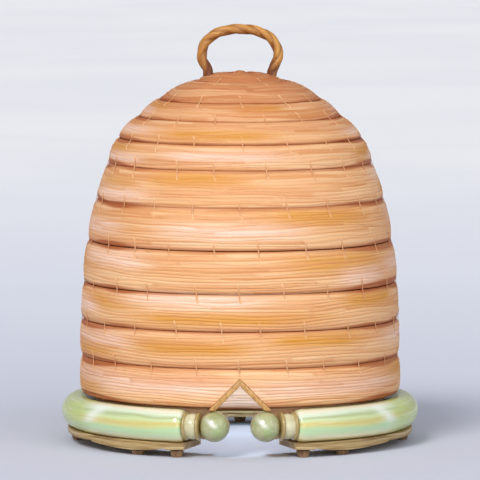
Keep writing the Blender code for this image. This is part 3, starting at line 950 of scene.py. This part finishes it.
def make_stitches(rows, rng, material):
    """Slanting stitches of split cane that bind each row to the next."""
    for above, below in zip(rows[:-2], rows[1:-1]):
        path = stitch_path(above, below)
        reach = path[:, 0].max()
        run = np.gradient(path, axis=0)
        run /= np.linalg.norm(run, axis=1, keepdims=True)
        count = int(TURN * reach / STITCH_SPACING)
        bodies = []
        for i in range(count):
            middle = TURN * (i + 0.5 * (above.number % 2) + rng.uniform(-0.12, 0.12)) / count
            slant = STITCH_SLANT / reach * rng.uniform(0.7, 1.3)
            bodies.append(stitch(path, run, middle, slant, i, rng.uniform(0.2, 0.9)))
        points, faces, marks = joined(bodies)
        name = f"stitches_{above.number:02d}"
        add_piece(name, points, faces, material, "skep", [], marks)


# ---------------------------------------------------------------- crown and handle


def lathe(
    name, base, axis, side, profile, sides, material, body, nodes, swirl=0.0, ribs=0
):
    """A turned body: (distance along the axis, radius) points from one end to the other.

    ribs raise that many ridges round it, turned by swirl from one end to the other.
    """
    axis, side = Vector(axis).normalized(), Vector(side).normalized()
    across = np.array(axis.cross(side))
    base, axis, side = np.array(base), np.array(axis), np.array(side)
    along = np.array([p[0] for p in profile])
    radius = np.array([p[1] for p in profile])
    turn = round_turn(sides)
    share = (along - along[0]) / (along[-1] - along[0])
    ripples = np.abs(np.sin(ribs * (turn[None, :] + swirl * share[:, None]) / 2.0))
    reach = radius[:, None] * (1.0 if ribs == 0 else 0.9 + 0.1 * ripples)
    ring = np.cos(turn)[:, None] * side + np.sin(turn)[:, None] * across
    loops = base + along[:, None, None] * axis + reach[:, :, None] * ring[None]
    grain = stacked(along[:, None], turn[None, :] * radius.max(), share[:, None])
    points, faces, marks = skinned(loops, {"grain": grain})
    return add_piece(name, points, faces, material, body, nodes, marks)


def rounded_profile(corners, rounding, steps=4):
    """A profile through corners, each inner one turned by a short curve."""
    points = [corners[0]]
    for before, corner, after in zip(corners, corners[1:], corners[2:]):
        here = Vector(corner)
        legs = [Vector(before) - here, Vector(after) - here]
        cuts = [min(rounding, 0.45 * leg.length) * leg.normalized() for leg in legs]
        for i in range(steps + 1):
            t = i / steps
            points.append(tuple(here + cuts[0] * (1.0 - t) ** 2 + cuts[1] * t**2))
    points.append(corners[-1])
    return points


def make_knot():
    """The crown's tight plug of straw, swirled as it was wound."""
    low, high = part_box("crown_knot")
    reach = high.x
    corners = [
        (0.0, TIP),
        (0.0, 0.30 * reach),
        (0.0016, 0.72 * reach),
        (0.006, reach),
        (0.022, 0.8 * reach),
        (0.95 * (high.z - low.z), 0.6 * reach),
        (0.95 * (high.z - low.z), TIP),
    ]
    straw = straw_material("straw_knot", "a9673a", "c58651", "dba56c", "7c4224")
    profile = rounded_profile(corners, 0.003)
    base = (0.0, 0.0, high.z)
    lathe(
        "crown_knot_swirl", base, (0, 0, -1), (1, 0, 0), profile, 96, straw,
        "skep", ["crown_knot"], swirl=1.4, ribs=15,
    )


def hoop_line():
    """The CAD hoop's centre line as (x, z) points, over from its right foot to its left."""
    low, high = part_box("handle_hoop")
    rod = (high.y - low.y) / 2.0
    wide = high.x - rod
    x, _, z = cad_points("handle_hoop").T
    foot = np.abs(x[z < low.z + GAP])
    leg = (foot.min() + foot.max()) / 2.0
    rise = high.z - rod - HOOP_WIDEST
    right = [(leg, h) for h in np.arange(low.z, LEG_STRAIGHT_BELOW, HOOP_STEP)]
    for height in np.arange(LEG_STRAIGHT_BELOW, HOOP_WIDEST, HOOP_STEP):
        share = (HOOP_WIDEST - height) / (HOOP_WIDEST - LEG_STRAIGHT_BELOW)
        right.append((wide - (wide - leg) * (1.0 - math.cos(math.pi * share)) / 2.0, height))
    for turn in np.radians(np.arange(4.0, 90.0, 2.0)):
        x = wide * math.cos(turn) ** (2.0 / HOOP_SQUARENESS)
        right.append((x, HOOP_WIDEST + rise * math.sin(turn) ** (2.0 / HOOP_SQUARENESS)))
    left = [(-x, z) for x, z in reversed(right)]
    return np.array(right + left), rod


def make_handle(material):
    """A willow rod with three spiral grooves, as if twisted, bent into the hoop."""
    line, rod = hoop_line()
    known = distances(line)
    place = np.arange(0.0, known[-1], HOOP_STEP)
    x, z = (np.interp(place, known, line[:, i]) for i in (0, 1))
    run = np.gradient(np.column_stack((x, z)), axis=0)
    run /= np.linalg.norm(run, axis=1, keepdims=True)
    flat = np.zeros_like(x)
    centre = np.column_stack((x, flat, z))
    normal = np.column_stack((run[:, 1], flat, -run[:, 0]))
    sideways = np.array((0.0, 1.0, 0.0))
    turn = round_turn(12 * HOOP_LOBES)
    lobe = turn[None, :] - TURN * place[:, None] / HOOP_TWIST
    ridge = np.abs(np.cos(HOOP_LOBES * lobe / 2.0)) ** 0.7
    reach = rod - HOOP_GROOVE * (1.0 - ridge)
    ring = np.cos(turn)[None, :, None] * normal[:, None, :]
    ring = ring + np.sin(turn)[None, :, None] * sideways
    loops = centre[:, None, :] + reach[..., None] * ring
    # Painted shade inside the loop and in the grooves, and darker down at the crown.
    dark = 0.4 * smoothstep(0.1, -0.8, np.cos(turn))[None, :] + 0.5 * (1.0 - ridge)
    dark = dark + 0.75 * smoothstep(*HOOP_CROWN_DARK, z)[:, None]
    grain = stacked(place[:, None], lobe * rod, np.clip(dark, 0.0, 1.0))
    points, faces, marks = skinned(loops, {"grain": grain})
    add_piece(
        "handle_twisted_hoop", points, faces, material, "skep", ["handle_hoop"], marks
    )


def make_toggle():
    low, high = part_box("handle_toggle")
    radius = (high.z - low.z) / 2.0
    half = high.x
    corners = [
        (0.0, TIP), (0.0, 0.5 * radius), (0.004, 0.84 * radius), (0.012, radius),
        (2.0 * half - 0.012, radius), (2.0 * half - 0.004, 0.84 * radius),
        (2.0 * half, 0.5 * radius), (2.0 * half, TIP),
    ]
    base = (low.x, 0.0, (low.z + high.z) / 2.0)
    lathe(
        "handle_toggle_bar", base, (1, 0, 0), (0, 1, 0), rounded_profile(corners, 0.0015), 28,
        BARE_WOOD, "skep", ["handle_toggle"],
    )


# ---------------------------------------------------------------- doorway and sticks


def softened(node, name, material, body, width):
    """A CAD node's shape with its edges rounded."""
    mesh = NODES[node].data.copy()
    mesh.name = name
    with edited(mesh) as shell:
        bmesh.ops.remove_doubles(shell, verts=shell.verts, dist=0.00001)
        bmesh.ops.dissolve_limit(
            shell, angle_limit=math.radians(1.0), verts=shell.verts, edges=shell.edges
        )
        bmesh.ops.recalc_face_normals(shell, faces=shell.faces)
        bmesh.ops.bevel(
            shell, geom=shell.edges, offset=width, segments=3, profile=0.5, affect="EDGES"
        )
    return finish_piece(mesh, material, body, [node])


def make_door():
    grain = (160.0, 14.0, 160.0)
    board = wood_material("door_boards", "a0703a", "c29254", "d9ae70", grain, 0.5)
    for part in ("gable", "jamb"):
        for side in ("left", "right"):
            node = f"door_{part}_{side}"
            softened(node, f"{node}_board", board, "skep", 0.0009)


def make_sticks(rng):
    """Hazel sticks with slight knots, cut to a point at each end."""
    hazel = wood_material(
        "hazel_bark", "5f4126", "8a6440", "a98258", (18.0, 420.0, 1.0), 0.6,
        place="grain",
    )
    for node in sorted(n for n in NODES if n.startswith("cross_stick")):
        low, high = (Vector(corner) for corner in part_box(node))
        span = high - low
        axis = Vector((1, 0, 0)) if span.x > span.y else Vector((0, 1, 0))
        length, radius = span.dot(axis), span.z / 2.0
        base = (low + high) / 2.0 - axis * length / 2.0
        knots = rng.uniform(0.15, 0.85, 4)
        profile = [(0.0, TIP)]
        for share in np.linspace(0.0, 1.0, 60):
            taper = min(1.0, 0.35 + min(share, 1.0 - share) * length / 0.012 * 0.65)
            swell = 0.1 * np.exp(-(((share - knots) / 0.012) ** 2)).sum()
            profile.append((share * length, radius * taper * (0.9 + swell)))
        profile.append((length, TIP))
        lathe(
            f"{node}_hazel", base, axis, (0, 0, 1), profile, 20, hazel, "skep", [node]
        )


# ---------------------------------------------------------------- the stand


def ring_facts():
    """The ring's centre radius and height, its ball's radius, and its own half sizes."""
    low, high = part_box("ball_left")
    middle = (low + high) / 2.0
    _, radius, height = cad_polar("bolster_left")
    ring_radius = math.hypot(middle.x, middle.y)
    reach = radius.max() - ring_radius
    return ring_radius, middle.z, (high.z - low.z) / 2.0, reach, height.max() - middle.z


def ring_body(name, angles, scale, glaze_and_painted_light, material, node, floor=0.0):
    """A round body bent to the ring: at each angle a share of the ring's own half sizes.

    floor is the height that its underside is flattened at.
    """
    ring_radius, ring_height, _, reach, rise = ring_facts()
    sides = 56
    turn = TURN * (np.arange(sides) + 0.5) / sides
    angles, scale = np.asarray(angles), np.asarray(scale)
    radius = ring_radius + reach * scale[:, None] * np.cos(turn)[None, :]
    height = ring_height + rise * scale[:, None] * np.sin(turn)[None, :]
    height = np.maximum(height, floor)
    loops = on_ring(angles[:, None], radius, height)
    band = 0.5 + np.arcsin(np.sin(turn)) / math.pi
    marks = {
        "grain": stacked((angles * ring_radius)[:, None], band[None, :], 0.0),
        "tint": glaze_and_painted_light(angles[:, None], turn[None, :]),
    }
    points, faces, marks = skinned(loops, marks)
    return add_piece(name, points, faces, material, "stand", [node], marks)


def bolster_tint(angle, turn):
    """Painted shade as a greener patch at each side of the ring, and a painted highlight as the
    white stroke that bounds it.
    """
    around = np.abs(angle)
    lean = np.sin(turn)
    side = smoothstep(*SHADE_GREENER_FROM, around)
    side = side * (1.0 - smoothstep(*SHADE_GREENER_TO, around))
    off = (around - HIGHLIGHT_MIDDLE + 0.10 * lean) / HIGHLIGHT_WIDTH
    stroke = np.exp(-(off**2)) * smoothstep(-0.35, 0.1, lean) * smoothstep(1.0, 0.85, lean)
    return stacked(side, stroke, 0.0)


def node_angles(node):
    """How far round from the front a CAD node of the stand starts and ends."""
    angle, _, _ = cad_polar(node)
    return np.abs(angle).min(), np.abs(angle).max()


def make_bolsters():
    paint = ring_paint()
    low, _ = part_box("bolster_left")
    start, end = node_angles("bolster_left")
    for sign, side in LEFT_AND_RIGHT:
        length = end - start
        share = np.concatenate((
            np.linspace(0.0, RING_SHOULDER, 8)[:-1],
            np.linspace(RING_SHOULDER, 1.0 - RING_BACK, 190),
            np.linspace(1.0 - RING_BACK, 1.0, 6)[1:],
        ))
        shoulder = np.clip(1.0 - share / RING_SHOULDER, 0.0, 1.0)
        back = np.clip(1.0 - (1.0 - share) / RING_BACK, 0.0, 1.0)
        scale = 1.0 - 0.17 * (1.0 - np.sqrt(1.0 - shoulder**2)) - 0.04 * back**2
        ring_body(
            f"ring_half_{side}", sign * (start + length * share), scale, bolster_tint, paint,
            f"bolster_{side}", floor=low.z,
        )


def make_finials():
    """The collar and ball at each of the ring's two front ends."""
    rise = ring_facts()[-1]
    collar_paint = turned_paint("collar_paint", "bfb88c", "d6cfac", "a58d55", 0.5)
    # The ball's rim colour also paints its shade towards the bottom.
    ball_paint = turned_paint("ball_paint", "999d6b", "b7b88c", "85743c", 0.9)
    start, end = node_angles("collar_left")
    rim, neck, waist = COLLAR_RIM / rise, COLLAR_NECK / rise, COLLAR_WAIST / rise
    shares = np.linspace(0.0, 1.0, 60)
    for sign, side in LEFT_AND_RIGHT:
        edge = np.minimum(shares, 1.0 - shares) / COLLAR_BEAD
        bead = np.sqrt(np.clip(1.0 - (2.0 * edge - 1.0) ** 2, 0.0, 1.0))
        barrel = neck + (waist - neck) * np.sin(math.pi * np.clip((shares - 0.2) / 0.6, 0, 1))
        scale = np.where(edge < 1.0, neck + (rim - neck) * bead, barrel)

        def rims(_, turn, edge=edge):
            return stacked(smoothstep(1.15, 0.8, edge)[:, None] + 0.0 * turn, 0.0, 0.0)

        ring_body(
            f"collar_turned_{side}", sign * (start + (end - start) * shares), scale, rims,
            collar_paint, f"collar_{side}",
        )
        make_ball(sign, side, ball_paint)


def ball_strokes(place):
    """The painted highlight, a slanting pale stroke, and the green spot painted on the front of
    a ball.
    """
    x, y, z = np.moveaxis(place, -1, 0)
    front = smoothstep(0.1, -0.4, y)
    right, up = x - SHINE_MIDDLE[0], z - SHINE_MIDDLE[1]
    slope, steep = SHINE_ACROSS
    along, across = steep * right - slope * up, slope * right + steep * up
    shine = np.exp(-((along / SHINE_SIZE[0]) ** 2) - (across / SHINE_SIZE[1]) ** 2)
    off = np.hypot(x - GREEN_MIDDLE[0], z - GREEN_MIDDLE[1])
    return 0.75 * front * shine, 0.7 * front * np.exp(-((off / GREEN_SIZE) ** 2))


def make_ball(sign, side, paint):
    """A turned ball, cut flat where it meets its collar and kept inside the CAD's box."""
    low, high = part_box(f"ball_{side}")
    ring_radius, ring_height, radius, _, _ = ring_facts()
    middle = (low + high) / 2.0
    angle = math.atan2(middle.x, -middle.y)
    centre = on_ring(angle, ring_radius, ring_height)
    radius = min(radius, centre[1] - CAD_BOX[0].y)
    axis = np.array((math.cos(angle), math.sin(angle), 0.0)) * sign
    across = np.cross(axis, UP)
    collar_start, _ = node_angles(f"collar_{side}")
    neck = (collar_start - abs(angle)) * ring_radius - GAP
    tilt = np.linspace(-math.pi / 2.0 + 0.02, math.asin(neck / radius), 40)
    along, reach = radius * np.sin(tilt), radius * np.cos(tilt)
    turn = round_turn(64)
    ring = np.cos(turn)[:, None] * across + np.sin(turn)[:, None] * UP
    loops = centre + along[:, None, None] * axis + reach[:, None, None] * ring[None]
    # Painted shade: darker towards the ball's bottom; browner next to the collar.
    lower = smoothstep(-0.1, -0.9, (loops[..., 2] - centre[2]) / radius)
    joint = smoothstep(neck - 0.0035, neck - 0.0012, along)[:, None]
    glaze_and_painted_light = np.maximum(0.35 * lower, joint)
    tint = np.stack((glaze_and_painted_light, *ball_strokes((loops - centre) / radius)), axis=-1)
    points, faces, marks = skinned(loops, {"grain": tint, "tint": tint})
    add_piece(
        f"ball_turned_{side}", points, faces, paint, "stand", [f"ball_{side}"],
        marks,
    )


def rail_heights(side, angle, height):
    """A rail half's angles, and its under and upper side there, lapped at the back.

    angle and height are those of the CAD node's points.
    """
    top = height.max()
    under = height < top - RAIL_LAP_LEAST
    order = np.argsort(angle[under])
    start, end = angle.min(), angle.max()
    lap = end - math.pi
    turns = np.concatenate((
        np.linspace(start, math.pi - lap, 150),
        np.linspace(math.pi - lap + 0.0004, end, 14),
    ))
    lapped = turns > math.pi - lap
    bottom = np.interp(turns, angle[under][order], height[under][order])
    tops = np.full_like(turns, top)
    if side == "left":
        bottom = np.where(lapped, top - RAIL_THICKNESS / 2.0 + GAP / 2.0, bottom)
    else:
        tops = np.where(lapped, top - RAIL_THICKNESS / 2.0 - GAP / 2.0, tops)
        bottom = np.where(lapped, top - RAIL_THICKNESS, bottom)
    return turns, bottom[:, None], tops[:, None]


def make_rails(wood):
    """The flat rail's two halves, with rounded edges and a half lap at the back."""
    side_x, side_z, round_x, round_z = rounded_corners(8).T
    for sign, side in LEFT_AND_RIGHT:
        angle, radius, height = cad_polar(f"rail_{side}")
        inner, outer = radius.min(), radius.max()
        half = (outer - inner) / 2.0
        turns, bottom, tops = rail_heights(side, np.mod(sign * angle, TURN), height)
        loops = on_ring(
            sign * turns[:, None],
            (inner + outer) / 2.0 + half * side_x + RAIL_ROUNDING * round_x,
            (tops + bottom) / 2.0 + (tops - bottom) / 2.0 * side_z + RAIL_ROUNDING * round_z,
        )
        grain = stacked((turns * outer)[:, None], side_x * half + loops[..., 2], 0.0)
        points, faces, marks = skinned(loops, {"grain": grain})
        add_piece(
            f"rail_{side}_bent", points, faces, wood, "stand", [f"rail_{side}"],
            marks,
        )


def rounded_corners(steps):
    """Rows of (x, z) signs of a rectangle's corners, and the (x, z) shift that rounds them."""
    rows = []
    for quarter, (sx, sz) in enumerate(((1, 1), (-1, 1), (-1, -1), (1, -1))):
        for i in range(steps):
            turn = math.radians(90.0 * (quarter + i / (steps - 1)))
            rows.append((sx, sz, math.cos(turn) - sx, math.sin(turn) - sz))
    return np.array(rows)


def make_feet(wood):
    """Small turned feet under the rail, swelling upward to a bead."""
    for node in sorted(n for n in NODES if n.startswith("foot_")):
        points = cad_points(node)
        low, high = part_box(node)
        wide = (high.x - low.x) / 2.0
        x, y = (low.x + high.x) / 2.0, (low.y + high.y) / 2.0
        shoulder = np.hypot(points[:, 0] - x, points[:, 1] - y) > 0.8 * wide
        top = points[shoulder, 2].max()
        corners = [
            (0.0, TIP), (0.0, 0.72 * wide), (0.18 * top, 0.8 * wide),
            (0.55 * top, 0.93 * wide), (0.80 * top, wide), (0.92 * top, 0.97 * wide),
            (top, 0.86 * wide), (top, TIP),
        ]
        lathe(
            f"{node}_turned", (x, y, 0.0), (0, 0, 1), (1, 0, 0),
            rounded_profile(corners, 0.0012), 32, wood, "stand", [node],
        )


# ---------------------------------------------------------------- stage


def make_floor():
    """A pale floor, darker near the object as painted shade and paler far off, that reaches far
    enough to be the backdrop too.
    """
    material, tree, shader = start_material(
        "floor_pale", Roughness=0.9, Specular_IOR_Level=0.1
    )
    place = object_place(tree)
    reach = tree.nodes.new("ShaderNodeVectorMath")
    reach.operation = "LENGTH"
    tree.links.new(place, reach.inputs[0])
    far = arithmetic(tree, "DIVIDE", reach.outputs["Value"], FLOOR_PALE_FROM)
    colour = ramp(tree, far, FLOOR_COLOURS_AND_SHADE)
    cloud = noise(tree, place, 1.2, 3.0, 0.4)
    colour = mixed(tree, reranged(tree, cloud, 0.3, 0.7, 0.12, 0.0), colour, "c6c9d8")
    put(tree, shader.inputs["Base Color"], colour)
    mesh = bpy.data.meshes.new("floor")
    with edited(mesh) as shell:
        bmesh.ops.create_circle(shell, cap_ends=True, segments=64, radius=FLOOR_RADIUS)
    mesh.materials.append(material)
    floor = linked("floor", mesh)


def pointed(piece, way, axis):
    """Turns an object so that one of its own axes points a way, and its Y axis up."""
    piece.rotation_mode = "QUATERNION"
    piece.rotation_quaternion = way.to_track_quat(axis, "Y")


def make_sun(name, azimuth, elevation, strength, softness, colour):
    """A soft light from a direction: azimuth from the front, towards +X."""
    lamp = bpy.data.lights.new(name, "SUN")
    lamp.energy = strength
    lamp.angle = math.radians(softness)
    lamp.color = colour
    rise = math.radians(elevation)
    away = on_ring(math.radians(azimuth), math.cos(rise), math.sin(rise))
    pointed(linked(name, lamp), Vector(away), "Z")


def make_inside_lamps():
    """Two lamps in the skep, so that the doorway shows as pale as in the picture."""
    down = bpy.data.lights.new("inside_down", "AREA")
    down.shape = "DISK"
    down.size = 0.12
    down.energy = DOWN_POWER
    to_back = bpy.data.lights.new("inside_to_back", "SPOT")
    to_back.spot_size = TO_BACK_CONE
    to_back.spot_blend = 0.6
    to_back.shadow_soft_size = 0.03
    to_back.energy = TO_BACK_POWER
    for lamp, (place, aim) in ((down, DOWN_LINE), (to_back, TO_BACK_LINE)):
        lamp.color = (0.56, 0.82, 1.0)
        made = linked(lamp.name, lamp)
        made.location = place
        pointed(made, Vector(place) - Vector(aim), "Z")


def make_lights():
    make_sun("key", -28.0, 42.0, 2.0, 22.0, (1.0, 0.98, 0.95))
    make_sun("fill", 40.0, 30.0, 0.7, 50.0, (0.96, 0.98, 1.0))
    make_sun("low_front", 4.0, 8.0, 0.7, 36.0, (0.97, 0.98, 1.0))
    make_inside_lamps()
    world = bpy.data.worlds.new("studio")
    world.use_nodes = True
    sky = world.node_tree.nodes["Background"]
    sky.inputs["Color"].default_value = srgb("e6e9f0")
    sky.inputs["Strength"].default_value = 0.5
    bpy.context.scene.world = world


def make_camera():
    """In front and looking slightly down, as in the picture."""
    lens = bpy.data.cameras.new("camera")
    place = Vector((0.0, -VIEW_DISTANCE, VIEW_HEIGHT))
    aim = Vector((0.0, 0.0, VIEW_CENTRE_HEIGHT))
    lens.sensor_width = SENSOR_WIDTH
    lens.lens = SENSOR_WIDTH * (aim - place).length / VIEW_WIDTH
    lens.clip_end = 4.0 * FLOOR_RADIUS
    camera = linked("camera", lens)
    camera.location = place
    pointed(camera, aim - place, "-Z")
    bpy.context.scene.camera = camera


# ---------------------------------------------------------------- making it all

rng = np.random.default_rng(SEED)
BARE_WOOD = wood_material(
    "bare_beech", "a9793f", "c99a62", "dcb380", (30.0, 260.0, 260.0), 0.55
)
brown_wood = wood_material(
    "rail_brown", "70502a", "ab8f5c", "cdb68a", (12.0, 260.0, 1.0), 0.5,
    place="grain",
)
foot_wood = wood_material(
    "foot_brown", "5a3c1e", "876440", "a88a5e", (160.0, 160.0, 30.0), 0.5
)
patches = (
    OCHRE_PATCHES + tuple(hidden_side_patches(rng, 11)),
    PALE_AND_HIGHLIGHT_PATCHES + tuple(hidden_side_patches(rng, 11)),
)
make_camera()
make_lights()
make_floor()
rows = read_rows()
make_rows(rows, rng, patches)
make_knot()
make_handle(willow_material())
make_toggle()
make_door()
make_sticks(rng)
make_bolsters()
make_finials()
make_rails(brown_wood)
make_feet(foot_wood)
for node in NODES:
    if "dowel" in node or "pin" in node:
        NODES[node].material_slots[0].material = BARE_WOOD

bpy.context.scene.view_settings.view_transform = "Standard"
